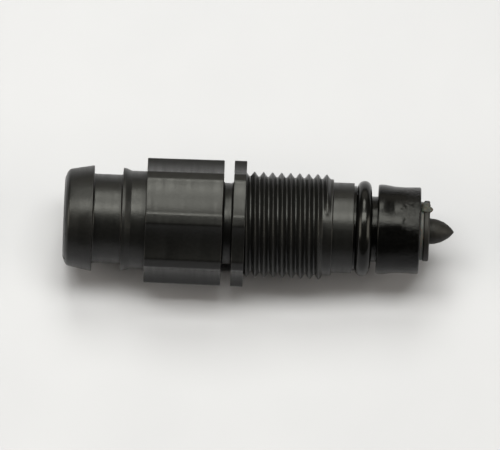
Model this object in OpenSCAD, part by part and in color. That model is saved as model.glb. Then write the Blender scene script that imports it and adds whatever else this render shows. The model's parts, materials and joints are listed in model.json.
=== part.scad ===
// Screw-in drip emitter: a barbed hose tail that turns in a fluted body with a G 1/2 thread, a port
// O-ring, and a nose whose spring-loaded poppet lets the water out in drops.
// Millimetres. X runs along the fitting from the hose end to the drip point, Z is up, and the origin is
// on the axis at the flange face that seats on the port.

/* [Port thread] */
// Major diameter of the G 1/2 thread
thread_d = 20.955; // [20.9:0.005:21.0]
// Pitch of the thread, 14 turns to the inch
thread_pitch = 1.8143; // [1.81:0.0001:1.82]
// Depth of the thread, measured on the radius
thread_depth = 1.162; // [1.1:0.002:1.2]
// Number of turns from the start inside the flange to the run-out
thread_turns = 9.5; // [8:0.5:9.5]

/* [Body] */
// Diameter over the lands of the grip and the flange
grip_d = 25.1; // [24.8:0.1:26]
// Length of the fluted grip
grip_l = 15.4; // [15:0.1:18]
// Depth of each flute below the lands
flute_depth = 1.15; // [0.9:0.05:1.2]
// Number of flutes round the grip
flutes = 8; // [6:2:10]
// Thickness of the flange
flange_t = 2.5; // [2.3:0.1:3]
// Width of the clip groove between grip and flange
clip_gap = 2.0; // [1.9:0.05:2.3]
// Diameter at the bottom of the clip groove
clip_d = 16.25; // [16:0.05:17]
// Length of the threaded part, run-out included
shank_l = 17.55; // [17.4:0.05:18]
// Diameter of the plain pilot beyond the thread
pilot_d = 18.1; // [17.8:0.1:18.4]
// Length of the plain pilot and its small shoulder
pilot_l = 4.7; // [4.5:0.05:5.2]

/* [Hose tail] */
// Largest diameter of the hose barb
barb_d = 21.3; // [21:0.1:21.6]
// Length of the barb
barb_l = 5.85; // [5.5:0.05:6.5]
// Diameter of the neck that the hose shrinks onto
neck_d = 18.0; // [17.7:0.1:18.3]
// Length of that neck
neck_l = 5.75; // [5.2:0.05:6.5]
// Diameter of the hose stop
stop_d = 20.6; // [20.4:0.1:20.9]
// Diameter of the journal that turns in the body
journal_d = 19.5; // [19.4:0.05:19.6]
// Journal showing between hose stop and grip
journal_show = 3.0; // [2.5:0.05:3.5]
// Diameter of the waterway through the tail
tail_bore_d = 13.8; // [13.6:0.1:14]

/* [Nose] */
// Thickness of the port O-ring
port_ring_cs = 3.0; // [2.9:0.05:3.1]
// Diameter at the bottom of the O-ring gland
gland_d = 13.1; // [12.9:0.1:13.2]
// Diameter of the nose cap at the gland
nose_d = 17.9; // [17.6:0.1:18.1]
// Diameter of the nose cap over most of its length
nose_tip_d = 17.2; // [17:0.1:17.4]
// Length of the nose cap
nose_l = 8.6; // [8.4:0.1:9]
// Diameter of the water outlet in the nose cap
outlet_d = 5.8; // [5.4:0.1:6]

/* [Valve] */
// Diameter of the poppet disc
disc_d = 12.2; // [12:0.1:12.8]
// Thickness of the poppet disc
disc_t = 1.2; // [1:0.1:1.5]
// Thickness of the soft seal behind the disc
seal_t = 0.7; // [0.7:0.05:1]
// Diameter of the drip point where it meets the disc
point_d = 5.2; // [4.8:0.1:5.6]
// Length of the drip point
point_l = 4.95; // [4.4:0.05:5.2]
// Diameter of the poppet stem
stem_d = 3.0; // [2.9:0.05:3.05]
// Wire thickness of the valve spring
spring_wire = 0.5; // [0.4:0.05:0.6]
// Turns of the valve spring
spring_turns = 8; // [6:1:9]

/* [Labyrinth] */
// Number of ring channels cut in the labyrinth core
channels = 6; // [4:1:6]
// Teeth on each side of a channel
channel_teeth = 10; // [6:2:12]

/* [Hidden] */
$fn = 96;

eps = 0.01;
run_fit = 0.05;      // radial gap between the journal and its bore, and round the stem
slip_fit = 0.03;     // gap round pieces that only sit in place
lap = 0.2;           // how far a piece reaches into its neighbour of the same moulding

// Body stations along X
groove_x = -flange_t;                    // flange side of the clip groove
grip_x = -flange_t - clip_gap;           // flange end of the grip
grip_end_x = grip_x - grip_l;            // hose end of the grip
pilot_x = shank_l;
gland_x = pilot_x + pilot_l;             // first wall of the O-ring gland
shoulder_w = 0.53;                       // the small step before the gland
shoulder_d = pilot_d - 1.1;
gland_w = 4.27;                          // room for the O-ring along X
nose_x = gland_x + gland_w;              // gland side of the nose cap
nose_end_x = nose_x + nose_l;            // outer face of the nose cap
cap_floor = 1.85;                        // thickness of the end wall of the cap
gasket_t = 0.7;
spigot_end_x = nose_end_x - cap_floor - gasket_t;
spigot_r = 6.0;
bead_h = 0.3;                            // snap bead that holds the cap
bead_x = nose_x + 2.9;
bead_w = 1.2;

// Bores of the body
swivel_r = journal_d / 2 + run_fit;
pocket_x = -10.2;                        // step between the swivel bore and the regulator pocket
pocket_r = 8.2;
pocket_end_x = -6.2;
main_r = 6.45;                           // bore that holds the labyrinth core
chamber_r = 5.3;                         // valve chamber beyond the core
chamber_end_x = gland_x - 1.95;
throat_r = 4.6;                          // bore through the gland and the spigot
relief_r = 10.75;                        // relief round the start of the thread, in the flange face
relief_t = 0.35;
guide_seat_r = 5.1;
guide_seat_x = spigot_end_x - 2.3;       // step that the stem guide and the spring stand on
ring_groove_r = 10.5;                    // groove for the retaining ring, in the body
ring_x = -12.9;                          // middle of the retaining ring
ring_wire = 1.2;
ring_side = 0.1;                         // clearance on each side of the ring

// Thread form: 55 degree flanks, crest and root cut flat at a sixth of the pitch
thread_r = thread_d / 2;
root_r = thread_r - thread_depth;
thread_foot_r = root_r - 0.22;           // the ridge starts this deep in the shank
crest_half = thread_pitch / 12;
foot_half = crest_half + (thread_r - thread_foot_r) * tan(27.5);
thread_start_x = -0.842;                 // axial place of the ridge at angle 0, inside the flange
thread_steps = 36;                       // facets per turn
run_out = 50;                            // degrees over which the ridge dies away

// Flutes: an arc through the land edges and the flute bottom
land_half = 5;                           // half the angle of a land
flute_half = 180 / flutes - land_half;
grip_r = grip_d / 2;
flute_chord = grip_r * sin(flute_half);
flute_sag = flute_depth - grip_r * (1 - cos(flute_half));
flute_r = (flute_chord * flute_chord + flute_sag * flute_sag) / (2 * flute_sag);
flute_centre = grip_r - flute_depth + flute_r;

// Hose tail stations along X
stop_x = grip_end_x - journal_show;      // grip side of the hose stop
stop_w = 1.85;
neck_x = stop_x - stop_w;
barb_x = neck_x - neck_l;                // full-diameter end of the barb
mouth_x = barb_x - barb_l;               // open end of the tail
tail_end_x = -10.8;                      // inner end of the journal
mouth_r = 9.6;
tail_groove_x = -17.9;
tail_groove_w = 2.4;
tail_groove_r = 8.3;
ring_seat_r = 8.45;                      // groove for the retaining ring, in the tail
rim_r = 7.6;                             // rim of the strainer
rim_t = 0.95;

// Strainer stations
cage_r = 6.3;
cage_in_r = 5.3;
cage_end_x = -12.4;
cage_cap = 1.0;
mesh_in_r = 5.05;
mesh_out_r = 5.28;

// Valve stations
seal_x = nose_end_x;
disc_x = seal_x + seal_t;
point_x = disc_x + disc_t;
stem_r = stem_d / 2;
stem_end_x = 15.0;
clip_x = 15.9;
clip_t = 0.4;
clip_grip = 0.4;                         // depth of the clip's groove in the stem
cup_x = 16.4;
cup_t = 1.2;
cup_r = 3.9;
cup_pilot_r = 2.6;                       // part of the cup that centres the spring
cup_pilot_l = 1;
spring_r = 3.0;                          // radius of the coil's centre line
spring_x = cup_x + cup_t;

// Regulator stations
cover_t = 1.0;
diaphragm_r = 6.5;
diaphragm_x = -9.12;                     // at rest it lies near the cover
diaphragm_t = 0.9;
seat_x = -7.45;
seat_t = 1.22;
seat_ring_h = 0.3;                       // height of the metering ring
seat_seal_r = 7.35;                      // centre line of the seat O-ring

// Labyrinth
core_r = main_r - run_fit;
core_x = pocket_end_x + slip_fit;
core_end_x = 13.8;
core_wall = 1.2;                         // plain land at the inlet end of the core
channel_w = 1.8;
channel_floor_r = core_r - 1.3;
channel_pitch = (core_end_x - core_x - core_wall) / channels;
dam_w = 1.8;
tooth_w = 0.6;
tooth_reach = 1.05;                      // how far a tooth reaches across its channel
dam_turn = -40;                          // each dam stands this far round from the last one

// Turns local Z onto the X axis of the fitting
module along_x() {
    rotate([0, 90, 0]) children();
}

// Solid of revolution about the X axis, from points [x, r]
module turned(points) {
    along_x() rotate_extrude() polygon([for (p = points) [p[1], p[0]]]);
}

// Plain ring about the X axis
module ring(x, length, outer, inner) {
    turned([[x, inner], [x + length, inner], [x + length, outer], [x, outer]]);
}

// Plain disc about the X axis
module disc(x, length, radius) {
    ring(x, length, radius, 0);
}

// Extrudes a 2D shape from x along the X axis
module prism(x, length) {
    translate([x, 0, 0]) along_x() linear_extrude(length) children();
}

// Points of a rounded corner in a profile: centre, radius and two angles
function corner(x, r, rad, a0, a1, n = 6) =
    [for (i = [0:n]) let (a = a0 + (a1 - a0) * i / n) [x + rad * cos(a), r + rad * sin(a)]];

// Cross-section shared by the grip and the flange
module fluted_section() {
    difference() {
        circle(r = grip_r);
        for (k = [0:flutes - 1])
            rotate(k * 360 / flutes) translate([flute_centre, 0]) circle(r = flute_r);
    }
}

// O-ring with a round section
module o_ring(x, mean_r, section_r) {
    translate([x, 0, 0]) along_x() rotate_extrude() translate([mean_r, 0]) circle(r = section_r);
}

// O-ring squeezed flat between two walls, from inner to outer radius
module squeezed_ring(x, inner, outer, width) {
    half = (outer - inner) / 2;
    mid = (outer + inner) / 2;
    straight = width - 2 * half;
    translate([x, 0, 0]) along_x() rotate_extrude() union() {
        translate([mid, straight / 2]) circle(r = half);
        translate([mid, -straight / 2]) circle(r = half);
        translate([inner, -straight / 2]) square([2 * half, straight]);
    }
}

// One section of the thread ridge at angle a, with its crest at radius top
function ridge(a, top) =
    let (x = thread_start_x + thread_pitch * a / 360)
    [for (p = [[thread_foot_r, -foot_half], [top, -crest_half],
               [top, crest_half], [thread_foot_r, foot_half]])
        [p[0] * cos(a), p[0] * sin(a), x + p[1]]];

// Height of the crest, which dies away over the last degrees of the thread
function crest_at(a, last) =
    thread_foot_r + 0.06 + (thread_r - thread_foot_r - 0.06) * min(1, max(0, (last - a) / run_out));

module thread_ridge() {
    steps = thread_turns * thread_steps;
    last = thread_turns * 360;
    points = [for (i = [0:steps]) let (a = i * 360 / thread_steps) each ridge(a, crest_at(a, last))];
    sides = [for (i = [0:steps - 1], k = [0:3])
        let (a = 4 * i + k, b = 4 * i + (k + 1) % 4) each [[a, b, b + 4], [a, b + 4, a + 4]]];
    ends = [[3, 2, 1, 0], [4 * steps, 4 * steps + 1, 4 * steps + 2, 4 * steps + 3]];
    along_x() polyhedron(points, concat(sides, ends));
}

// Outside of the body from the clip groove to the spigot, without flutes or thread
module shank() {
    fillet = 0.5;
    groove_r = clip_d / 2;
    turned(concat(
        [[grip_x - lap, 0], [grip_x - lap, groove_r + fillet], [grip_x, groove_r + fillet]],
        corner(grip_x + fillet, groove_r + fillet, fillet, 180, 270),
        corner(groove_x - fillet, groove_r + fillet, fillet, 270, 360),
        [[groove_x + lap, groove_r + fillet], [groove_x + lap, root_r], [pilot_x - 0.15, root_r],
         [pilot_x, root_r - 0.15], [pilot_x, pilot_d / 2]],
        [[gland_x - shoulder_w, pilot_d / 2], [gland_x - shoulder_w, shoulder_d / 2],
         [gland_x, shoulder_d / 2], [gland_x, gland_d / 2], [nose_x, gland_d / 2], [nose_x, spigot_r]],
        [[bead_x - bead_w / 2, spigot_r], [bead_x - bead_w / 4, spigot_r + bead_h],
         [bead_x + bead_w / 4, spigot_r + bead_h], [bead_x + bead_w / 2, spigot_r]],
        [[spigot_end_x - 0.3, spigot_r], [spigot_end_x, spigot_r - 0.3], [spigot_end_x, 0]]));
}

// Everything that is bored out of the body
module body_bores() {
    ring_half = ring_wire / 2 + ring_side;
    turned([
        [grip_end_x - 1, 0], [grip_end_x - 1, swivel_r + 0.3], [grip_end_x, swivel_r + 0.3],
        [grip_end_x + 0.3, swivel_r], [ring_x - ring_half, swivel_r], [ring_x - ring_half, ring_groove_r],
        [ring_x + ring_half, ring_groove_r], [ring_x + ring_half, swivel_r], [pocket_x, swivel_r],
        [pocket_x, pocket_r], [pocket_end_x, pocket_r], [pocket_end_x, main_r],
        [core_end_x + slip_fit, main_r], [core_end_x + slip_fit, chamber_r],
        [chamber_end_x, chamber_r], [chamber_end_x + chamber_r - throat_r, throat_r],
        [guide_seat_x, throat_r], [guide_seat_x, guide_seat_r],
        [spigot_end_x + 1, guide_seat_r], [spigot_end_x + 1, 0]]);
}

module body() {
    color([0.13, 0.13, 0.13]) difference() {
        union() {
            prism(grip_end_x, grip_l) fluted_section();
            difference() {
                prism(groove_x, flange_t) fluted_section();
                disc(-relief_t, relief_t + 1, relief_r);
            }
            shank();
            thread_ridge();
        }
        body_bores();
    }
}

module hose_tail() {
    round = 0.9;
    ring_half = ring_wire / 2 + ring_side;
    bore_r = tail_bore_d / 2;
    color([0.14, 0.14, 0.14]) turned(concat(
        [[mouth_x, rim_r + slip_fit]],
        corner(mouth_x + round, mouth_r - round, round, 180, 105),
        [[barb_x - 0.25, barb_d / 2 - 0.05], [barb_x - 0.1, barb_d / 2], [barb_x, barb_d / 2 - 0.1]],
        corner(barb_x + 0.4, neck_d / 2 + 0.4, 0.4, 180, 270, 4),
        corner(neck_x - 0.2, neck_d / 2 + 0.2, 0.2, 270, 350, 4),
        [[neck_x + 0.15, stop_d / 2 - 0.12], [neck_x + 0.27, stop_d / 2],
         [neck_x + 1.1, stop_d / 2 - 0.03], [stop_x, journal_d / 2 + 0.1], [stop_x, journal_d / 2]],
        [[tail_groove_x, journal_d / 2], [tail_groove_x, tail_groove_r],
         [tail_groove_x + tail_groove_w, tail_groove_r], [tail_groove_x + tail_groove_w, journal_d / 2]],
        [[ring_x - ring_half, journal_d / 2], [ring_x - ring_half, ring_seat_r],
         [ring_x + ring_half, ring_seat_r], [ring_x + ring_half, journal_d / 2]],
        [[tail_end_x - 0.3, journal_d / 2], [tail_end_x, journal_d / 2 - 0.3], [tail_end_x, bore_r],
         [mouth_x + rim_t + 0.03, bore_r], [mouth_x + rim_t + 0.03, rim_r + slip_fit]]));
}

module tail_o_ring() {
    squeezed_w = 2.0;
    color([0.05, 0.05, 0.05]) squeezed_ring(tail_groove_x + tail_groove_w / 2,
        tail_groove_r + 0.02, swivel_r - slip_fit, squeezed_w);
}

// Round spring wire bent to an open ring, sprung out into the body and still deep in the tail
module tail_retaining_ring() {
    gap = 24;
    mean_r = ring_groove_r - slip_fit - ring_wire / 2;
    color([0.75, 0.75, 0.77]) translate([ring_x, 0, 0]) along_x() rotate(gap / 2)
        rotate_extrude(angle = 360 - gap) translate([mean_r, 0]) circle(r = ring_wire / 2);
}

module thrust_washer() {
    outer_r = 9.6;
    inner_r = 7.2;
    color([0.9, 0.9, 0.88])
        ring(tail_end_x + run_fit, pocket_x - tail_end_x - run_fit - eps, outer_r, inner_r);
}

// Moulded cage: a rim that seats in the mouth, lengthwise ribs, two hoops and a closed end
module strainer_frame() {
    ribs = 6;
    rib_w = 1.0;
    start = mouth_x + rim_t - lap;
    length = cage_end_x - start;
    color([0.85, 0.85, 0.82]) union() {
        turned([[mouth_x, mesh_in_r + 0.6], [mouth_x + 0.6, mesh_in_r], [mouth_x + rim_t, mesh_in_r],
                [mouth_x + rim_t, rim_r], [mouth_x + 0.2, rim_r], [mouth_x, rim_r - 0.2]]);
        intersection() {
            ring(start, length, cage_r, cage_in_r);
            for (k = [0:ribs - 1])
                rotate([k * 360 / ribs, 0, 0]) translate([start, -rib_w / 2, 0])
                    cube([length, rib_w, cage_r + 1]);
        }
        for (x = [mouth_x + 8, mouth_x + 15.8]) ring(x, rib_w, cage_r, cage_in_r);
        difference() {
            disc(cage_end_x - cage_cap - 1, cage_cap + 1, cage_r);
            disc(cage_end_x - cage_cap - 2, 2, cage_in_r);
        }
    }
}

// Sleeve of the screen, pierced in rows that are turned half a step from each other
module strainer_mesh() {
    rows = 12;
    holes = 10;
    start = mouth_x + rim_t + 0.02;
    length = cage_end_x - cage_cap - 0.02 - start;
    row_pitch = length / rows;
    hole_w = 1.7;
    hole_l = row_pitch * 0.72;
    color([0.8, 0.8, 0.8]) difference() {
        ring(start, length, mesh_out_r, mesh_in_r);
        for (i = [0:rows - 1], k = [0:holes / 2 - 1])
            rotate([(k + (i % 2) / 2) * 360 / holes, 0, 0])
                translate([start + (i + 0.5) * row_pitch - hole_l / 2, -hole_w / 2, -7])
                    cube([hole_l, hole_w, 14]);
    }
}

// Pierced cover with a skirt, and ribs that centre the diaphragm
module regulator_cover() {
    skirt_r = 7.2;
    hole_circle_r = 4.3;
    hole_r = 1.2;
    start = pocket_x + slip_fit;
    color([0.88, 0.88, 0.86]) difference() {
        union() {
            disc(start, cover_t, pocket_r - slip_fit);
            ring(start, seat_x - eps - start, pocket_r - slip_fit, skirt_r);
            for (k = [0:3])
                rotate([45 + k * 90, 0, 0]) translate([start, -0.5, diaphragm_r + 0.1])
                    cube([seat_x - eps - start, 1, skirt_r - diaphragm_r + 0.2]);
        }
        for (k = [0:5])
            prism(start - 1, cover_t + 1.5) rotate(k * 60) translate([hole_circle_r, 0]) circle(r = hole_r);
    }
}

module regulator_diaphragm() {
    color([0.75, 0.76, 0.74]) disc(diaphragm_x, diaphragm_t, diaphragm_r);
}

// Seat with a metering ring round the orifice, notched so that it never shuts off fully
module metering_seat() {
    orifice_r = 0.8;
    metering_r = 2.5;
    metering_w = 0.6;
    notch_w = 0.4;
    groove_depth = 0.75;
    groove_half = 0.5;
    color([0.88, 0.88, 0.86]) difference() {
        union() {
            disc(seat_x, seat_t, pocket_r - slip_fit);
            ring(seat_x - seat_ring_h, seat_ring_h + lap,
                metering_r + metering_w / 2, metering_r - metering_w / 2);
        }
        disc(seat_x - 1, seat_t + 2, orifice_r);
        ring(seat_x + seat_t - groove_depth, 1, seat_seal_r + groove_half, seat_seal_r - groove_half);
        translate([seat_x - 1, -notch_w / 2, 1]) cube([1.05, notch_w, metering_r]);
    }
}

module seat_o_ring() {
    color([0.05, 0.05, 0.05]) o_ring(seat_x + seat_t - 0.38, seat_seal_r, 0.36);
}

// One layer of a channel: the floor, the dam and the teeth that stand at the given offsets
module channel_layer(x, length, dam, offsets) {
    prism(x, length) union() {
        circle(r = channel_floor_r);
        intersection() {
            circle(r = core_r);
            union() {
                rotate(dam) translate([0, -dam_w / 2]) square([core_r + 1, dam_w]);
                for (o = offsets, k = [1:channel_teeth - 1])
                    rotate(dam + (k + o) * 360 / channel_teeth)
                        translate([0, -tooth_w / 2]) square([core_r + 1, tooth_w]);
            }
        }
    }
}

// Turbulent-path core: ring channels joined in one long path by notches beside the dams
module labyrinth_core() {
    wall_w = channel_pitch - channel_w;
    mid_w = 2 * tooth_reach - channel_w;
    side_w = (channel_w - mid_w) / 2;
    notch_at = 20;                       // degrees past each dam
    notch_w = 1.2;
    inlet_r = 2;
    inlet_depth = 0.6;
    color([0.88, 0.88, 0.86]) difference() {
        union() {
            for (i = [0:channels - 1]) {
                x = core_x + core_wall + i * channel_pitch;
                dam = i * dam_turn;
                channel_layer(x - eps, side_w + 2 * eps, dam, [0]);
                channel_layer(x + side_w, mid_w, dam, [0, 0.5]);
                channel_layer(x + side_w + mid_w - eps, side_w + 2 * eps, dam, [0.5]);
                disc(x + channel_w, wall_w, core_r);
            }
            disc(core_x, core_wall, core_r);
        }
        for (i = [0:channels])
            prism(core_x + core_wall + i * channel_pitch - wall_w - 0.3, wall_w + 0.6)
                rotate(i * dam_turn + notch_at) translate([channel_floor_r, -notch_w / 2])
                    square([core_r - channel_floor_r + 1, notch_w]);
        prism(core_x - 1, 1 + inlet_depth) union() {
            circle(r = inlet_r);
            rotate(notch_at) translate([0, -notch_w / 2]) square([core_r + 1, notch_w]);
        }
    }
}

module port_o_ring() {
    section_r = port_ring_cs / 2;
    color([0.04, 0.04, 0.04]) o_ring(gland_x + section_r + 0.04, gland_d / 2 + section_r + 0.02, section_r);
}

// Cap that snaps over the spigot and carries the valve seat on its outer face
module nose_cap() {
    bore_r = spigot_r + slip_fit;
    round = 0.7;
    tip_r = nose_tip_d / 2;
    groove = bead_h + slip_fit;
    color([0.03, 0.03, 0.035]) turned(concat(
        [[nose_x, gland_d / 2 + 0.1], [nose_x, nose_d / 2 - 0.15], [nose_x + 0.15, nose_d / 2],
         [nose_x + 1.2, nose_d / 2], [nose_x + 2.8, tip_r]],
        corner(nose_end_x - round, tip_r - round, round, 90, 0),
        [[nose_end_x, outlet_d / 2], [nose_end_x - cap_floor, outlet_d / 2],
         [nose_end_x - cap_floor, bore_r]],
        [[bead_x + bead_w / 2 + 0.05, bore_r], [bead_x + bead_w / 4 + 0.05, bore_r + groove],
         [bead_x - bead_w / 4 - 0.05, bore_r + groove], [bead_x - bead_w / 2 - 0.05, bore_r]],
        [[nose_x + 0.4, bore_r]]));
}

module nose_gasket() {
    color([0.07, 0.07, 0.07]) ring(spigot_end_x + eps, nose_end_x - cap_floor - spigot_end_x - 2 * eps,
        spigot_r - 0.05, throat_r - 0.1);
}

// Three-legged spider that guides the stem and gives the spring its fixed end
module stem_guide() {
    hub_r = 2.3;
    ring_in_r = 4.3;
    guide_l = spigot_end_x - guide_seat_x;
    color([0.88, 0.88, 0.86]) difference() {
        union() {
            ring(guide_seat_x + eps, guide_l - 2 * eps, guide_seat_r - slip_fit, ring_in_r);
            disc(guide_seat_x - 1.5, guide_l + 1.5 - 2 * eps, hub_r);
            for (k = [0:2])
                rotate([k * 120, 0, 0]) translate([guide_seat_x + eps, -0.5, hub_r - 0.3])
                    cube([guide_l - 2 * eps, 1, ring_in_r - hub_r + 0.6]);
        }
        disc(guide_seat_x - 3, guide_l + 4, stem_r + run_fit);
    }
}

// Radius of the drip point at a share t of its length
function point_radius(t) = point_d / 2 * pow(1 - t * t, 0.8);

// Stem, disc and drip point in one moulding
module poppet() {
    tip = 0.985;
    sections = 14;
    disc_r = disc_d / 2;
    edge = 0.2;
    color([0.1, 0.1, 0.1]) turned(concat(
        [[stem_end_x, 0], [stem_end_x, stem_r - 0.3], [stem_end_x + 0.3, stem_r],
         [clip_x - slip_fit, stem_r], [clip_x - slip_fit, stem_r - clip_grip],
         [clip_x + clip_t + slip_fit, stem_r - clip_grip], [clip_x + clip_t + slip_fit, stem_r],
         [disc_x, stem_r]],
        [[disc_x, disc_r - edge], [disc_x + edge, disc_r], [point_x - edge, disc_r],
         [point_x, disc_r - edge], [point_x, point_d / 2]],
        [for (i = [1:sections]) let (t = tip * i / sections) [point_x + point_l * t, point_radius(t)]],
        [[point_x + point_l, 0]]));
}

module poppet_seal() {
    seal_r = disc_d / 2 - 0.25;
    color([0.62, 0.63, 0.62]) ring(seal_x + eps, seal_t - 2 * eps, seal_r, stem_r + 0.02);
}

// Coil of the spring, swept as a helix between its two seats
module valve_spring() {
    wire_r = spring_wire / 2;
    sides = 8;
    steps_per_turn = 20;
    steps = spring_turns * steps_per_turn;
    first = spring_x + wire_r + 0.02;
    rise = guide_seat_x - wire_r - 0.02 - first;
    points = [for (i = [0:steps], k = [0:sides - 1])
        let (a = i * 360 / steps_per_turn, b = k * 360 / sides, r = spring_r + wire_r * cos(b))
        [r * cos(a), r * sin(a), first + rise * i / steps + wire_r * sin(b)]];
    walls = [for (i = [0:steps - 1], k = [0:sides - 1])
        let (a = sides * i + k, b = sides * i + (k + 1) % sides)
        each [[a, b + sides, b], [a, a + sides, b + sides]]];
    caps = [[for (k = [0:sides - 1]) k], [for (k = [sides - 1:-1:0]) sides * steps + k]];
    color([0.75, 0.75, 0.77]) along_x() polyhedron(points, concat(walls, caps));
}

// Collar that carries the moving end of the spring
module spring_cup() {
    color([0.88, 0.88, 0.86]) difference() {
        union() {
            disc(cup_x, cup_t, cup_r);
            disc(cup_x, cup_t + cup_pilot_l, cup_pilot_r);
        }
        disc(cup_x - 1, cup_t + 3, stem_r + 0.02);
    }
}

// E-shaped clip in the groove of the stem
module stem_clip() {
    outer_r = 2.9;
    mouth_w = 1.8;
    lobe_r = 0.55;
    color([0.75, 0.75, 0.77]) prism(clip_x, clip_t) difference() {
        circle(r = outer_r);
        circle(r = stem_r - clip_grip + slip_fit);
        translate([0, -mouth_w / 2]) square([outer_r + 1, mouth_w]);
        for (a = [-70, 70]) rotate(180 + a) translate([stem_r + clip_grip, 0]) circle(r = lobe_r);
    }
}

body();
hose_tail();
tail_o_ring();
tail_retaining_ring();
thrust_washer();
strainer_frame();
strainer_mesh();
regulator_cover();
regulator_diaphragm();
metering_seat();
seat_o_ring();
labyrinth_core();
port_o_ring();
nose_cap();
nose_gasket();
stem_guide();
poppet();
poppet_seal();
valve_spring();
spring_cup();
stem_clip();
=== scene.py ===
"""Looks of the drip emitter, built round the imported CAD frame.

Lengths are millimetres in the row's frame and become metres where a mesh is made. Angles run round the
X axis from straight down: 0 is -Z, 90 is +Y.
"""

import json
import math

import bpy
import numpy as np
from mathutils import Matrix, Vector, noise


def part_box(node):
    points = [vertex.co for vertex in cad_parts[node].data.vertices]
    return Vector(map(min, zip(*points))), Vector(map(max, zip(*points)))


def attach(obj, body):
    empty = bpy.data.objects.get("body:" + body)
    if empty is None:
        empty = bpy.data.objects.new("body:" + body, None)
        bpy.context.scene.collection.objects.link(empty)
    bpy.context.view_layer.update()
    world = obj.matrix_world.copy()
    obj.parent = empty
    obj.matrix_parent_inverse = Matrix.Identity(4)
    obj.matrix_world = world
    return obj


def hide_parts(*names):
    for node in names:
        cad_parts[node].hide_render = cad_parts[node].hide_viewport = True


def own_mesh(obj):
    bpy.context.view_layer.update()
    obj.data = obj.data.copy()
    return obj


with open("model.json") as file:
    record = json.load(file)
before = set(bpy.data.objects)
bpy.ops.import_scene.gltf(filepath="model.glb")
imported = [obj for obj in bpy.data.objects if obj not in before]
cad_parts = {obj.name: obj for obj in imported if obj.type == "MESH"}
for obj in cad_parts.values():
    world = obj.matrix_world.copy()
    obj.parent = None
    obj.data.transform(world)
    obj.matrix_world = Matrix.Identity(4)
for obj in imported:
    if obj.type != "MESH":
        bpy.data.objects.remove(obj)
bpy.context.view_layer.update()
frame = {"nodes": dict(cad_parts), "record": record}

MM = 0.001


def along(node, end):
    """Place along X of a CAD node's lowest (0) or highest (1) end, in millimetres."""
    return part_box(node)[end].x / MM


# ---------------------------------------------------------------- places and sizes from the CAD frame
mounts = {mount["name"]: mount for mount in frame["record"]["mounts"]}
pilot = mounts["port_pilot"]

MOUTH, TAIL_END = along("hose_tail", 0), along("hose_tail", 1)
RING_X = (along("tail_retaining_ring", 0) + along("tail_retaining_ring", 1)) / 2
CORE_END = along("labyrinth_core", 1)
SHANK_END = pilot["pos_m"][0] / MM
PILOT_END = SHANK_END + pilot["dims"]["length_mm"]
PILOT_R = pilot["dims"]["r_mm"]
GLAND_END, NOSE_END = along("nose_cap", 0), along("nose_cap", 1)
SPIGOT_END = along("body", 1)
SPRING_TO = along("valve_spring", 1)
STEM_END, TIP = along("poppet", 0), along("poppet", 1)

# ---------------------------------------------------------------- body, outside
GRIP_R = 12.57
GRIP_TAPER = 0.007           # the grip grows this much in radius for each millimetre along X
GRIP_END, GRIP_START = -19.93, -4.51
FLANGE_BACK = -2.5
GROOVE_R = 8.12
FLUTES = 8
FLUTE_DEPTH = 1.15
LAND_HALF = 5.0              # half the width of a land, in degrees
FLUTED_ABOVE = 10.6          # every radius above this one follows the flutes
RELIEF_R, RELIEF_DEPTH = 10.75, 0.35

PITCH = 1.8143
THREAD_R = 10.58
THREAD_DEPTH = 0.93
ROOT_R = THREAD_R - THREAD_DEPTH
THREAD_START = -0.842        # where the ridge lies at angle 0
THREAD_END_ANGLE = 9.5 * 360 + 12
RUN_OUT = 28.0               # the ridge dies away over this many degrees
FLANK = math.radians(36)     # between a flank and the plane across the thread
CREST_HALF = 0.08            # half the width of the flat on each crest
THREAD_STOP = SHANK_END - 0.16   # beyond it the shank is plain

SHOULDER_R = 8.5
GLAND_START = 22.25
GLAND_R = 6.55
SPIGOT_R = 6.0
BEAD_X, BEAD_H, BEAD_HALF = 29.42, 0.3, 0.6   # snap bead that holds the cap: middle, height, half width

# ---------------------------------------------------------------- body, inside
GUIDE_SEAT, GUIDE_SEAT_R = SPIGOT_END - 2.3, 5.1
THROAT, THROAT_R = 21.0, 4.6
CHAMBER_END, CHAMBER_R = 20.3, 5.3
MAIN_R = 6.45
POCKET_START, POCKET_END, POCKET_R = -10.2, -6.2, 8.2
SLIP_FIT = 0.03              # gap round pieces that only sit in place
SWIVEL_R = 9.8
RING_GROOVE_R, RING_GROOVE_HALF = 10.5, 0.7

# ---------------------------------------------------------------- hose tail
BARB_END, NECK_END, STOP_END = -30.53, -24.81, -22.9
BARB_R, NECK_R, STOP_R = 10.63, 8.93, 10.3
SHOWN_JOURNAL_R = 9.82       # between the hose stop and the grip
JOURNAL_R = 9.75             # inside the body
TAIL_BORE_R = 6.9
RIM_R, RIM_DEPTH = 7.63, 0.98
SEAL_GROOVE_START, SEAL_GROOVE_END, SEAL_GROOVE_R = -17.9, -15.5, 8.3
TAIL_RING_GROOVE_R = 8.45

# ---------------------------------------------------------------- nose and valve
NOSE_R, NOSE_TIP_R = 8.95, 8.6
CAP_FLOOR, OUTLET_R = 1.85, 2.9
LUMPY_FROM = 31.0            # the grease is lumpy from here to the end of the cap
POINT_R, POINT_L = 2.6, 4.95
DISC_R, DISC_T = 6.08, 1.2
DISC_END = TIP - POINT_L
DISC_START = DISC_END - DISC_T
STEM_R, CLIP_GRIP = 1.5, 0.4
SPRING_FROM = 17.6
SPRING_R, WIRE_R = 3.0, 0.25


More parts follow.
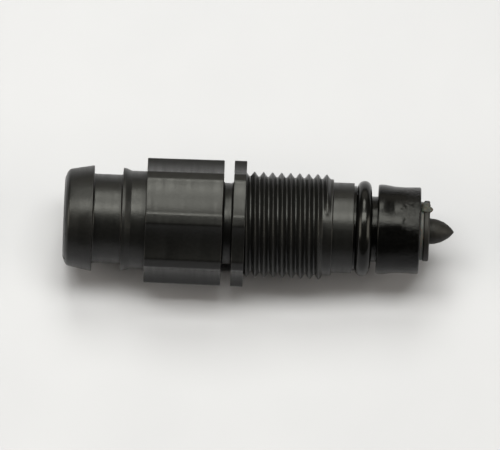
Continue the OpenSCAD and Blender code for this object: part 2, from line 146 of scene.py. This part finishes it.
# ---------------------------------------------------------------- mesh helpers
def rounded(points, steps=5):
    """Closed outline through (x, r, fillet) points, with an arc at every corner that has a fillet."""
    out = []
    count = len(points)
    for i, (x, r, fillet) in enumerate(points):
        here = Vector((x, r))
        back = Vector(points[i - 1][:2]) - here
        on = Vector(points[(i + 1) % count][:2]) - here
        if fillet <= 0:
            out.append((x, r))
            continue
        half = back.angle(on) / 2
        reach = min(fillet / math.tan(half), back.length * 0.48, on.length * 0.48)
        radius = reach * math.tan(half)
        centre = here + (back.normalized() + on.normalized()).normalized() * (radius / math.sin(half))
        first = here + back.normalized() * reach - centre
        last = here + on.normalized() * reach - centre
        turn = first.angle_signed(last)
        for k in range(steps + 1):
            spoke = first.copy()
            spoke.rotate(Matrix.Rotation(-turn * k / steps, 2))
            out.append(tuple(centre + spoke))
    return out


def even_angles(count):
    """Angles of count points spread evenly round the axis."""
    return np.arange(count) * 360.0 / count


def fluted_angles():
    """Angles that are close together at the edges of the lands and further apart in the flutes."""
    from_middle = [0, 2.5, 3.8, 4.4, 4.8, 5.2, 5.6, 6.2, 7.2, 9, 11, 13, 15, 17, 19, 21]
    sector = 360.0 / FLUTES
    offsets = sorted(set([-m for m in from_middle] + from_middle + [sector / 2]))
    return np.array([sector * (k + 0.5) + o for k in range(FLUTES) for o in offsets])


def loft(name, outline, angles, shape, material):
    """Closed solid of revolution about X. shape(x, r, angle) moves the points of the grid.

    An outline that starts and ends on the axis is closed by a single point at each end.
    """
    xs, rs = (np.array(v, float) for v in zip(*outline))
    poles = [xs[0], xs[-1]] if rs[0] == 0 and rs[-1] == 0 else []
    if poles:
        xs, rs = xs[1:-1], rs[1:-1]
    x, angle = np.meshgrid(xs, angles, indexing="ij")
    r = np.repeat(rs[:, None], len(angles), axis=1)
    x, r = shape(x, r, angle)
    a = np.radians(angle)
    verts = np.stack([x, r * np.sin(a), -r * np.cos(a)], axis=-1).reshape(-1, 3) * MM
    rows, cols = len(xs), len(angles)
    i, j = np.meshgrid(np.arange(rows - 1 if poles else rows), np.arange(cols), indexing="ij")
    i2, j2 = (i + 1) % rows, (j + 1) % cols
    quads = np.stack([i * cols + j, i * cols + j2, i2 * cols + j2, i2 * cols + j], axis=-1)
    faces = [tuple(q) for q in quads.reshape(-1, 4)]
    if poles:
        verts = np.concatenate([verts, [[poles[0] * MM, 0, 0], [poles[1] * MM, 0, 0]]])
        first, last, end = rows * cols, rows * cols + 1, (rows - 1) * cols
        faces += [(first, (k + 1) % cols, k) for k in range(cols)]
        faces += [(last, end + k, end + (k + 1) % cols) for k in range(cols)]
    return mesh_object(name, verts, faces, material)


def mesh_object(name, verts, faces, material):
    """Smooth-shaded object from points in metres and the faces between them."""
    mesh = bpy.data.meshes.new(name)
    mesh.from_pydata([tuple(v) for v in verts], [], [tuple(int(k) for k in f) for f in faces])
    mesh.validate()
    mesh.update()
    mesh.shade_smooth()
    mesh.materials.append(material)
    obj = bpy.data.objects.new(name, mesh)
    bpy.context.scene.collection.objects.link(obj)
    return obj


def tube_faces(rows, sides):
    """Faces of a closed tube: rows of points, each ring joined to the next, with a cap at each end."""
    faces = []
    for i in range(rows - 1):
        for k in range(sides):
            k2 = (k + 1) % sides
            faces.append(((i + 1) * sides + k, (i + 1) * sides + k2, i * sides + k2, i * sides + k))
    first_cap = tuple(range(sides))
    last_cap = tuple(range(rows * sides - 1, (rows - 1) * sides - 1, -1))
    return faces + [first_cap, last_cap]


def flat_faces_first(obj):
    """Lets the large faces set the shading, so that a flat wall stays flat beside its fillet."""
    weighted = obj.modifiers.new("weighted", "WEIGHTED_NORMAL")
    weighted.keep_sharp = True
    weighted.weight = 80


# ---------------------------------------------------------------- material helpers
class Graph:
    """Short way to write a node material."""

    def __init__(self, name):
        self.material = bpy.data.materials.new(name)
        self.material.use_nodes = True
        self.tree = self.material.node_tree
        self.shader = self.tree.nodes["Principled BSDF"]
        self.coords = self.tree.nodes.new("ShaderNodeTexCoord").outputs["Object"]

    def node(self, kind, **values):
        made = self.tree.nodes.new(kind)
        for key, value in values.items():
            if key in made.inputs:
                made.inputs[key].default_value = value
            else:
                setattr(made, key, value)
        return made

    def link(self, source, target):
        self.tree.links.new(source, target)

    def noise(self, per_mm, detail=3.0, rough=0.55, stretch=(1, 1, 1)):
        """Noise with per_mm features to the millimetre, drawn out along the axes by stretch."""
        mapping = self.node("ShaderNodeMapping")
        mapping.inputs["Scale"].default_value = [per_mm / MM / s for s in stretch]
        self.link(self.coords, mapping.inputs["Vector"])
        made = self.node("ShaderNodeTexNoise", Scale=1.0, Detail=detail, Roughness=rough)
        self.link(mapping.outputs["Vector"], made.inputs["Vector"])
        return made.outputs["Fac"]

    def beyond(self, x_mm, fade_mm, source):
        """Source, faded in over fade_mm from x_mm onwards."""
        split = self.node("ShaderNodeSeparateXYZ")
        self.link(self.coords, split.inputs["Vector"])
        share = self.node("ShaderNodeMapRange")
        share.inputs["From Min"].default_value = x_mm * MM
        share.inputs["From Max"].default_value = (x_mm + fade_mm) * MM
        self.link(split.outputs["X"], share.inputs["Value"])
        both = self.node("ShaderNodeMath", operation="MULTIPLY")
        self.link(share.outputs["Result"], both.inputs[0])
        self.link(source, both.inputs[1])
        return both.outputs["Value"]

    def ramp(self, source, stops):
        made = self.node("ShaderNodeValToRGB")
        ramp = made.color_ramp
        while len(ramp.elements) < len(stops):
            ramp.elements.new(0.5)
        for element, (place, colour) in zip(ramp.elements, stops):
            element.position = place
            element.color = (*colour, 1) if isinstance(colour, tuple) else (colour,) * 3 + (1,)
        self.link(source, made.inputs["Fac"])
        return made.outputs["Color"]

    def bump(self, source, height_mm, after=None):
        made = self.node("ShaderNodeBump", Strength=1.0, Distance=height_mm * MM)
        self.link(source, made.inputs["Height"])
        if after:
            self.link(after, made.inputs["Normal"])
        return made.outputs["Normal"]

    def set(self, **values):
        for key, value in values.items():
            self.shader.inputs[key.replace("_", " ")].default_value = value

    def into(self, socket, source):
        self.link(source, self.shader.inputs[socket])


def moulded_black(name, dark, light, rough, marks=0.5):
    """Matt black moulding: mottled, with faint rings left by the tool. marks is how deep the rings are."""
    g = Graph(name)
    mottle = g.noise(1.6, detail=5, rough=0.65)
    g.into("Base Color", g.ramp(mottle, [(0.35, dark), (0.7, light)]))
    rings = g.noise(1.1, detail=2, stretch=(1, 14, 14))
    g.into("Roughness", g.ramp(rings, [(0.3, rough - 0.05), (0.7, rough + 0.06)]))
    fine = g.bump(g.noise(7.0, detail=2), 0.012)
    broad = g.bump(g.noise(0.9, detail=2), 0.02, fine)
    g.into("Normal", g.bump(rings, 0.02 * marks, broad))
    g.set(IOR=1.57, Specular_IOR_Level=0.25)
    return g.material


def rubber(name, dark, light, rough):
    """Black rubber, nearly smooth."""
    g = Graph(name)
    g.into("Base Color", g.ramp(g.noise(2.5), [(0.35, dark), (0.7, light)]))
    g.into("Roughness", g.ramp(g.noise(1.2), [(0.3, rough), (0.7, rough + 0.08)]))
    g.into("Normal", g.bump(g.noise(3.0), 0.006))
    g.set(IOR=1.5, Specular_IOR_Level=0.25)
    return g.material


def wet_black():
    """Glossy black under a film of grease, rippled, and more finely so near the end of the nose. On the
    shoulder and floor of the gland its darker colour is painted shade.
    """
    g = Graph("wet_black")
    g.into("Base Color", g.ramp(g.noise(1.5), [(0.4, 0.001), (0.75, 0.0025)]))
    g.into("Roughness", g.ramp(g.noise(0.8, detail=4), [(0.35, 0.08), (0.7, 0.22)]))
    waves = g.bump(g.noise(1.1, detail=3), 0.03)
    ripples = g.bump(g.noise(4.2, detail=2), 0.04, waves)
    g.into("Normal", g.bump(g.beyond(LUMPY_FROM, 1.6, g.noise(5.2, detail=1)), 0.06, ripples))
    g.set(IOR=1.38, Specular_IOR_Level=0.25)
    return g.material


def natural_plastic():
    """Unpigmented acetal, slightly translucent."""
    g = Graph("natural_acetal")
    g.into("Base Color", g.ramp(g.noise(0.5), [(0.3, (0.44, 0.43, 0.39)), (0.7, (0.48, 0.47, 0.44))]))
    g.into("Roughness", g.ramp(g.noise(1.0), [(0.3, 0.36), (0.7, 0.46)]))
    g.into("Normal", g.bump(g.noise(5.0), 0.004))
    g.set(Subsurface_Weight=0.25, Subsurface_Scale=0.0008, IOR=1.48)
    return g.material


def steel(name, rough, stretch):
    """Bare steel, with its drawing marks along the axes that stretch names."""
    g = Graph(name)
    g.into("Base Color", g.ramp(g.noise(2.0), [(0.3, (0.35, 0.35, 0.36)), (0.7, (0.43, 0.43, 0.44))]))
    g.into("Roughness", g.ramp(g.noise(4.0, stretch=stretch), [(0.3, rough), (0.7, rough + 0.12)]))
    g.into("Normal", g.bump(g.noise(6.0, stretch=stretch), 0.003))
    g.set(Metallic=1.0)
    return g.material


def silicone(name, colour, rough):
    """Soft translucent rubber or grease."""
    g = Graph(name)
    deep = tuple(c * 0.8 for c in colour)
    g.into("Base Color", g.ramp(g.noise(1.2), [(0.3, deep), (0.7, colour)]))
    g.into("Roughness", g.ramp(g.noise(1.0), [(0.3, rough), (0.7, rough + 0.1)]))
    g.into("Normal", g.bump(g.noise(2.5), 0.012))
    g.set(Transmission_Weight=0.35, IOR=1.41, Subsurface_Weight=0.3, Subsurface_Scale=0.001,
          Specular_IOR_Level=0.25)
    return g.material


def tabletop():
    """Pale, matt and very nearly even."""
    g = Graph("tabletop")
    shades = [(0.3, (0.414, 0.418, 0.466)), (0.7, (0.424, 0.428, 0.476))]
    g.into("Base Color", g.ramp(g.noise(0.02, detail=2), shades))
    g.into("Roughness", g.ramp(g.noise(0.05), [(0.3, 0.55), (0.7, 0.62)]))
    g.into("Normal", g.bump(g.noise(1.5), 0.002))
    return g.material


BODY_BLACK = moulded_black("body_black", 0.0024, 0.0048, 0.36)
TAIL_BLACK = moulded_black("tail_black", 0.0028, 0.0056, 0.36, marks=0.8)
POINT_BLACK = moulded_black("point_black", (0.0045, 0.004, 0.0035), (0.01, 0.009, 0.008), 0.55, marks=0.2)
# the wet black of the nose cap, also used as painted shade on the gland's shoulder and floor
WET_BLACK_AND_GLAND_SHADE = wet_black()
RING_RUBBER = rubber("ring_rubber", 0.004, 0.007, 0.4)
WET_RUBBER = rubber("wet_rubber", 0.0015, 0.003, 0.17)
SILICONE = silicone("silicone", (0.15, 0.15, 0.145), 0.4)
GREASE = silicone("grease", (0.07, 0.0725, 0.065), 0.4)
ACETAL = natural_plastic()
SPRING_STEEL = steel("spring_steel", 0.22, (1, 6, 6))
SCREEN_STEEL = steel("screen_steel", 0.3, (1, 1, 1))


# ---------------------------------------------------------------- body
def soft_min(a, b, blend):
    """The smaller of two values, rounded where they come within blend of each other."""
    return np.minimum(a, b) - np.maximum(blend - np.abs(a - b), 0) ** 2 / (4 * blend)


def soft_max(a, b, blend):
    """The larger of two values, rounded in the same way."""
    return -soft_min(-a, -b, blend)


def flute_outline(angle):
    """Radius of the grip at each angle: round lands joined by hollow flutes."""
    sector = 360.0 / FLUTES
    half = math.radians(sector / 2 - LAND_HALF)
    chord = GRIP_R * math.sin(half)
    sag = FLUTE_DEPTH - GRIP_R * (1 - math.cos(half))
    radius = (chord ** 2 + sag ** 2) / (2 * sag)
    centre = GRIP_R - FLUTE_DEPTH + radius
    away = np.radians((angle + sector / 2) % sector - sector / 2)
    hollow = centre * np.cos(away) - np.sqrt(radius ** 2 - (centre * np.sin(away)) ** 2)
    return soft_min(GRIP_R, hollow, 0.2)


def thread_height(x, angle):
    """Height of the thread above its root: a right-hand helix that dies away at the nose end."""
    turns = (x - THREAD_START) / PITCH - angle / 360
    nearest = np.round(turns)
    aside = np.abs(turns - nearest) * PITCH
    slope = THREAD_DEPTH - (aside - CREST_HALF) / math.tan(FLANK)
    height = soft_min(soft_max(slope, 0, 0.1), THREAD_DEPTH, 0.12)
    left = (THREAD_END_ANGLE - (angle + 360 * nearest)) / RUN_OUT
    return height * np.clip(left, 0, 1)


def body_shape(x, r, angle):
    """Cuts the flutes into grip and flange, and raises the thread on the shank."""
    outline = flute_outline(angle) + GRIP_TAPER * (x - (GRIP_END + GRIP_START) / 2)
    stretch = (outline - FLUTED_ABOVE) / (GRIP_R - FLUTED_ABOVE)
    fluted = FLUTED_ABOVE + (r - FLUTED_ABOVE) * stretch
    threaded = ROOT_R + thread_height(x, angle)
    on_thread = (np.abs(r - ROOT_R) < 1e-6) & (x < THREAD_STOP)
    r = np.where(r > FLUTED_ABOVE, fluted, np.where(on_thread, threaded, r))
    return x, r


def shade_the_gland(obj):
    """Gives the shoulder and the floor of the gland the darker, glossier black of the nose cap, as painted
    shade in this recess.
    """
    obj.data.materials.append(WET_BLACK_AND_GLAND_SHADE)
    gland_shade = len(obj.data.materials) - 1
    for face in obj.data.polygons:
        x, r = face.center.x / MM, math.hypot(face.center.y, face.center.z) / MM
        if PILOT_END < x < GLAND_END and r > GLAND_R - 0.1:
            face.material_index = gland_shade


def body():
    """Grip, flange, thread, pilot, gland and spigot in one moulding, with its bores."""
    before = [
        (GRIP_END, SWIVEL_R + 0.3, 0.08), (GRIP_END, GRIP_R, 0.2), (GRIP_START, GRIP_R, 0.2),
        (GRIP_START, GROOVE_R, 0.45), (FLANGE_BACK, GROOVE_R, 0.45), (FLANGE_BACK, GRIP_R, 0.16),
        (0, GRIP_R, 0.16), (0, RELIEF_R, 0.06), (-RELIEF_DEPTH, RELIEF_R, 0.08),
    ]
    thread = [(x, ROOT_R, 0) for x in np.arange(-RELIEF_DEPTH, SHANK_END - 0.2, PITCH / 20)]
    after = [
        (SHANK_END - 0.15, ROOT_R, 0), (SHANK_END, ROOT_R - 0.15, 0), (SHANK_END, PILOT_R, 0.06),
        (PILOT_END, PILOT_R, 0.12), (PILOT_END, SHOULDER_R, 0.05), (GLAND_START, SHOULDER_R, 0.12),
        (GLAND_START, GLAND_R, 0.3), (GLAND_END, GLAND_R, 0.05), (GLAND_END, SPIGOT_R, 0.05),
        (BEAD_X - BEAD_HALF, SPIGOT_R, 0), (BEAD_X - BEAD_HALF / 2, SPIGOT_R + BEAD_H, 0.1),
        (BEAD_X + BEAD_HALF / 2, SPIGOT_R + BEAD_H, 0.1), (BEAD_X + BEAD_HALF, SPIGOT_R, 0),
        (SPIGOT_END, SPIGOT_R, 0.3), (SPIGOT_END, GUIDE_SEAT_R, 0.05), (GUIDE_SEAT, GUIDE_SEAT_R, 0),
        (GUIDE_SEAT, THROAT_R, 0.05), (THROAT, THROAT_R, 0), (CHAMBER_END, CHAMBER_R, 0),
        (CORE_END + SLIP_FIT, CHAMBER_R, 0), (CORE_END + SLIP_FIT, MAIN_R, 0),
        (POCKET_END, MAIN_R, 0.05), (POCKET_END, POCKET_R, 0), (POCKET_START, POCKET_R, 0.05),
        (POCKET_START, SWIVEL_R, 0),
        (RING_X + RING_GROOVE_HALF, SWIVEL_R, 0), (RING_X + RING_GROOVE_HALF, RING_GROOVE_R, 0),
        (RING_X - RING_GROOVE_HALF, RING_GROOVE_R, 0), (RING_X - RING_GROOVE_HALF, SWIVEL_R, 0),
        (GRIP_END + 0.3, SWIVEL_R, 0),
    ]
    obj = loft("fluted_body", rounded(before + thread + after), fluted_angles(), body_shape, BODY_BLACK)
    # painted shade: darker black on the gland's shoulder and floor
    shade_the_gland(obj)
    flat_faces_first(obj)
    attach(obj, "housing")
    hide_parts("body")


# ---------------------------------------------------------------- hose tail
# Nibs of flash on the lip of the mouth: angle, height in millimetres, width in degrees
FLASH = [(271.5, 0.5, 1.6), (207, 0.12, 3), (227, 0.1, 3)]


def tail_shape(x, r, angle):
    """Slightly uneven lip at the mouth, with nibs of flash where the mould closed."""
    lip = np.clip(1 - (x - MOUTH) / 0.7, 0, 1) * (r > 8)
    nib = sum(height * np.exp(-np.abs(angle - at) / width) for at, height, width in FLASH)
    wave = 0.03 * np.sin(np.radians(angle * 3)) + 0.02 * np.sin(np.radians(angle * 7 + 40))
    return x - lip * (nib + wave), r


def hose_tail():
    """Barb, neck, hose stop and journal in one moulding, open from end to end."""
    outline = [
        (MOUTH, RIM_R, 0.06), (MOUTH, 7.9, 0.3), (MOUTH + 0.4, 9.0, 0.4), (MOUTH + 0.9, 9.7, 0.9),
        (MOUTH + 2.85, 10.07, 3), (BARB_END, BARB_R, 0.12),
        (BARB_END, NECK_R, 0.4), (NECK_END, NECK_R, 0.22), (NECK_END + 0.1, STOP_R + 0.05, 0.14),
        (NECK_END + 0.75, STOP_R - 0.04, 0.3), (STOP_END, SHOWN_JOURNAL_R, 0.1),
        (GRIP_END + 0.1, SHOWN_JOURNAL_R, 0), (GRIP_END + 0.25, JOURNAL_R, 0),
        (SEAL_GROOVE_START, JOURNAL_R, 0.06), (SEAL_GROOVE_START, SEAL_GROOVE_R, 0.1),
        (SEAL_GROOVE_END, SEAL_GROOVE_R, 0.1), (SEAL_GROOVE_END, JOURNAL_R, 0.06),
        (RING_X - RING_GROOVE_HALF, JOURNAL_R, 0), (RING_X - RING_GROOVE_HALF, TAIL_RING_GROOVE_R, 0),
        (RING_X + RING_GROOVE_HALF, TAIL_RING_GROOVE_R, 0), (RING_X + RING_GROOVE_HALF, JOURNAL_R, 0),
        (TAIL_END, JOURNAL_R, 0.3), (TAIL_END, TAIL_BORE_R, 0.1), (MOUTH + RIM_DEPTH, TAIL_BORE_R, 0.05),
        (MOUTH + RIM_DEPTH, RIM_R, 0.02),
    ]
    obj = loft("barbed_tail", rounded(outline, 6), even_angles(360), tail_shape, TAIL_BLACK)
    flat_faces_first(obj)
    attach(obj, "tail")
    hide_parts("hose_tail")


# ---------------------------------------------------------------- nose
def noise_grid(x, r, angle, per_mm, seed):
    """Smooth noise, -1 to 1, at each point of a grid."""
    a = np.radians(angle)
    points = np.stack([x, r * np.sin(a), -r * np.cos(a)], axis=-1).reshape(-1, 3) * per_mm
    values = [noise.noise(Vector(p) + Vector((seed, 0, 0))) for p in points]
    return np.array(values).reshape(x.shape)


# Drops in the grease: place along X, angle, half width along X and half width round the cap
DROPS = [(33.27, 170.5, 0.17, 0.24), (35.0, 176.8, 0.13, 0.6), (34.8, 187.6, 0.2, 0.28),
         (31.75, 172.1, 0.3, 0.35), (31.75, 190.4, 0.24, 0.36), (31.3, 176.0, 0.2, 0.22)]


def nose_shape(x, r, angle):
    """Grease makes the cap slightly uneven, and lumpy in a band near its outer end."""
    skin = (r > 7.5).astype(float) * np.clip((x - GLAND_END) / 1.0, 0, 1)
    broad = noise_grid(x, r, angle, 0.3, 3)
    band = np.clip((x - LUMPY_FROM) / 0.8, 0, 1)
    lumps = noise_grid(x, r, angle, 1.3, 11)
    drops = sum(np.exp(-((x - at) / wide) ** 2 - (np.radians(angle - turn) * NOSE_TIP_R / long) ** 2)
                for at, turn, wide, long in DROPS)
    return x, r + skin * (0.07 + 0.08 * broad + 0.05 * band * np.maximum(lumps, 0) + 0.1 * drops)


def nose_cap():
    """Cap that snaps over the bead of the spigot, with the outlet in its end wall."""
    bore = SPIGOT_R + SLIP_FIT
    snap = bore + BEAD_H
    wide, narrow = BEAD_HALF + 0.05, BEAD_HALF / 2 + 0.05
    skin_x = np.arange(GLAND_END + 3.4, NOSE_END - 0.7, 0.12)
    outline = (
        [(GLAND_END, GLAND_R + 0.1, 0.05), (GLAND_END, NOSE_R, 0.3), (GLAND_END + 0.7, NOSE_R, 0),
         (GLAND_END + 1.3, 8.9, 0), (GLAND_END + 2.1, 8.78, 0), (GLAND_END + 3.0, 8.65, 0)]
        + [(x, NOSE_TIP_R, 0) for x in skin_x]
        + [(NOSE_END, NOSE_TIP_R, 0.4), (NOSE_END, 5.0, 0), (NOSE_END, OUTLET_R, 0.2),
           (NOSE_END - CAP_FLOOR, OUTLET_R, 0), (NOSE_END - CAP_FLOOR, bore, 0.05),
           (BEAD_X + wide, bore, 0), (BEAD_X + narrow, snap, 0), (BEAD_X - narrow, snap, 0),
           (BEAD_X - wide, bore, 0), (GLAND_END + 0.4, bore, 0)]
    )
    obj = loft("greased_nose_cap", rounded(outline, 6), even_angles(480), nose_shape, WET_BLACK_AND_GLAND_SHADE)
    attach(obj, "housing")
    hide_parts("nose_cap")


# Bulges on the nose side of the O-ring: angle, height in millimetres, width in degrees
BULGES = [(245, 0.22, 38), (178, 0.12, 16)]


def port_o_ring():
    """O-ring pushed a little unevenly towards the nose, as if it had rolled in its gland."""
    low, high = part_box("port_o_ring")
    half = (high.x - low.x) / 2 / MM
    mean = high.z / MM - half
    middle = (low.x + high.x) / 2 / MM
    outline = [(middle + half * math.cos(a), mean + half * 1.02 * math.sin(a))
               for a in np.linspace(math.pi, -math.pi, 40, endpoint=False)]

    def uneven(x, r, angle):
        outer_side = np.clip((x - middle) / half, 0, 1)
        wave = 0.1 * np.sin(np.radians(angle * 2 + 50))
        bulge = sum(height * np.exp(-((angle - at) / width) ** 2) for at, height, width in BULGES)
        return x + outer_side * (wave + bulge), r

    obj = loft("greased_o_ring", outline, even_angles(240), uneven, WET_RUBBER)
    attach(obj, "housing")
    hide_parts("port_o_ring")


# ---------------------------------------------------------------- valve
def seal():
    """Soft washer between the disc and the cap, a little uneven at its edge."""
    low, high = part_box("poppet_seal")
    near, far, outer, inner = low.x / MM, high.x / MM, high.z / MM, STEM_R + SLIP_FIT
    outline = rounded([(near, inner, 0), (near, outer, 0.16), (far, outer, 0.16), (far, inner, 0)])

    def edge(x, r, angle):
        return x, r + (r > outer / 2) * 0.05 * noise_grid(x, r, angle, 0.8, 21)

    obj = loft("seal_washer", outline, even_angles(200), edge, SILICONE)
    flat_faces_first(obj)
    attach(obj, "valve")
    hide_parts("poppet_seal")


def valve_spring():
    """Drawn wire coil with closed ends, built at one length; the real coil shortens as the poppet opens."""
    turns, per_turn, sides, gap = 8, 40, 12, 0.03
    open_share = 0.9                  # share of the spring's length that the open turns take up
    closed = 0.9 / turns              # share of the wire that lies in the two closed ends
    t = np.linspace(0, 1, turns * per_turn + 1)
    rise = np.clip((t - closed / 2) / (1 - closed), 0, 1)
    ends = (np.clip(t / closed, 0, 1) + np.clip((t - 1 + closed) / closed, 0, 1)) / 2
    run = SPRING_TO - SPRING_FROM - 2 * (WIRE_R + gap)
    x = SPRING_FROM + WIRE_R + gap + run * (open_share * rise + (1 - open_share) * ends)
    verts = []
    for xi, ai in zip(x, 2 * math.pi * turns * t):
        for k in range(sides):
            b = 2 * math.pi * k / sides
            r = SPRING_R + WIRE_R * math.cos(b)
            verts.append(Vector((xi + WIRE_R * math.sin(b), r * math.sin(ai), -r * math.cos(ai))) * MM)
    obj = mesh_object("valve_coil", verts, tube_faces(len(x), sides), SPRING_STEEL)
    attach(obj, "housing")
    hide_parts("valve_spring")
    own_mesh(obj)


# Grease on the edge of the disc: place along X, distance from the axis, angle, half width, half height
SWELLINGS = [(36.15, 6.15, 147, 0.95, 0.36), (36.1, 6.1, 159, 0.92, 0.4), (36.95, 5.85, 157, 0.65, 0.36)]


def grease():
    """Lump of grease on the far edge of the disc, in three rounded swellings."""
    rings, sides = 12, 28
    spread, lumpiness = 2.2, 0.22
    for number, (at, away, turn, half_x, half_r) in enumerate(SWELLINGS):
        spoke = math.radians(turn)
        outwards = Vector((0, math.sin(spoke), -math.cos(spoke)))
        sideways = Vector((1, 0, 0)).cross(outwards)
        middle = Vector((at, 0, 0)) + outwards * away
        verts = []
        for t in np.linspace(0, math.pi, rings + 2)[1:-1]:
            r = half_r * math.sin(t)
            for k in range(sides):
                a = 2 * math.pi * k / sides
                offset = outwards * (r * math.sin(a)) + sideways * (spread * r * math.cos(a))
                offset.x -= half_x * math.cos(t)
                bulge = noise.noise((middle + offset) * 1.6 + Vector((number * 7, 0, 0)))
                verts.append((middle + offset * (1 + lumpiness * bulge)) * MM)
        obj = mesh_object("grease_%d" % (number + 1), verts, tube_faces(rings, sides), GREASE)
        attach(obj, "valve")


def poppet_shape(x, r, angle):
    """The drip point is a little lumpy, as if trimmed by hand."""
    point = np.clip((x - DISC_END) / 0.4, 0, 1) * np.clip(r / 0.6, 0, 1)
    return x, r + point * (0.05 * noise_grid(x, r, angle, 1.4, 5) + 0.03 * noise_grid(x, r, angle, 3.5, 9))


def poppet():
    """Stem with its clip groove, disc and drip point in one moulding."""
    groove_start, groove_end = along("stem_clip", 0) - SLIP_FIT, along("stem_clip", 1) + SLIP_FIT
    groove_r = STEM_R - CLIP_GRIP
    point = [(DISC_END + POINT_L * t, POINT_R * (1 - t * t) ** 0.8, 0) for t in np.linspace(0.04, 0.985, 24)]
    outline = (
        [(STEM_END, 0, 0), (STEM_END, STEM_R, 0.3), (groove_start, STEM_R, 0), (groove_start, groove_r, 0),
         (groove_end, groove_r, 0), (groove_end, STEM_R, 0), (DISC_START, STEM_R, 0),
         (DISC_START, DISC_R, 0.25), (DISC_END, DISC_R, 0.35), (DISC_END, POINT_R, 0.12)]
        + point + [(TIP, 0, 0)]
    )
    obj = loft("poppet_with_point", rounded(outline), even_angles(160), poppet_shape, POINT_BLACK)
    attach(obj, "valve")
    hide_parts("poppet")


# ---------------------------------------------------------------- table, lights and camera
OFF_WHITE, WARM = (1.0, 1.0, 0.9), (1.0, 0.94, 0.8)

# Name, lean (degrees towards +X, degrees from the near side over the top), distance, size, radiance, colour
LIGHTS = [
    ("overhead", (-3, 95.2), 0.7, (0.74, 0.25), 10.6, OFF_WHITE),
    ("behind", (-4, 126), 0.9, (0.4, 0.39), 8.2, OFF_WHITE),
    ("wall", (0, 158), 1.5, (1.6, 0.64), 0.7, WARM),
    ("left", (-56, 70), 0.9, (0.5, 0.6), 4.2, WARM),
    ("right", (60, 68), 0.9, (0.5, 0.6), 3.8, WARM),
]


def studio():
    """Pale table under a broad light, with a smaller one and a dim wall behind and one at each side."""
    floor_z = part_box("body")[0].z
    half = 4.0
    corners = [(x * half, y * half, floor_z) for x, y in ((-1, -1), (1, -1), (1, 1), (-1, 1))]
    mesh_object("table", corners, [(0, 1, 2, 3)], tabletop())
    for light in LIGHTS:
        area_light(*light)
    world = bpy.data.worlds.new("room")
    world.use_nodes = True
    world.node_tree.nodes["Background"].inputs["Color"].default_value = (0.04, 0.038, 0.032, 1)
    bpy.context.scene.world = world


def area_light(name, lean, distance, size, radiance, colour):
    """Rectangular light that faces the object."""
    data = bpy.data.lights.new(name, "AREA")
    data.shape = "RECTANGLE"
    data.size, data.size_y = size
    data.energy = radiance * math.pi * size[0] * size[1]
    data.color = colour
    obj = bpy.data.objects.new(name, data)
    side, over = (math.radians(v) for v in lean)
    place = Vector((math.sin(side), -math.cos(over) * math.cos(side), math.sin(over) * math.cos(side)))
    obj.location = place * distance
    across = (Vector((1, 0, 0)) - place * place.x).normalized()
    obj.rotation_mode = "QUATERNION"
    obj.rotation_quaternion = Matrix((across, place.cross(across), place)).transposed().to_quaternion()
    bpy.context.scene.collection.objects.link(obj)


def camera():
    """Long lens from above the near side, with the fitting lying a little down to the right."""
    elevation = math.radians(65.4)
    roll = math.radians(2.24)
    distance = 3.0
    frame_width = 0.10035
    aim = Vector((1.02 * MM, 0, 0))
    data = bpy.data.cameras.new("camera")
    data.sensor_width = 36
    data.lens = data.sensor_width * distance / frame_width
    data.clip_start, data.clip_end = 0.1, 20
    obj = bpy.data.objects.new("camera", data)
    back = Vector((0, -math.cos(elevation), math.sin(elevation)))
    turn = back.to_track_quat("Z", "Y") @ Matrix.Rotation(roll, 4, "Z").to_quaternion()
    obj.rotation_mode = "QUATERNION"
    obj.rotation_quaternion = turn
    down_the_picture = turn @ Vector((0, -0.16 * MM, 0))
    obj.location = aim + down_the_picture + back * distance
    bpy.context.scene.collection.objects.link(obj)
    bpy.context.scene.camera = obj


CAD_LOOKS = {
    "tail_o_ring": RING_RUBBER, "seat_o_ring": RING_RUBBER, "nose_gasket": RING_RUBBER,
    "tail_retaining_ring": SPRING_STEEL, "stem_clip": SPRING_STEEL,
    "thrust_washer": ACETAL, "strainer_frame": ACETAL, "regulator_cover": ACETAL,
    "metering_seat": ACETAL, "labyrinth_core": ACETAL, "stem_guide": ACETAL, "spring_cup": ACETAL,
    "strainer_mesh": SCREEN_STEEL, "regulator_diaphragm": SILICONE,
}


def cad_materials():
    """Gives each CAD node that no piece replaces its material."""
    for name, material in CAD_LOOKS.items():
        obj = frame["nodes"][name]
        obj.data.materials.clear()
        obj.data.materials.append(material)


studio()
camera()
body()
hose_tail()
nose_cap()
port_o_ring()
poppet()
seal()
valve_spring()
grease()
cad_materials()
bpy.context.scene.view_settings.view_transform = "Standard"
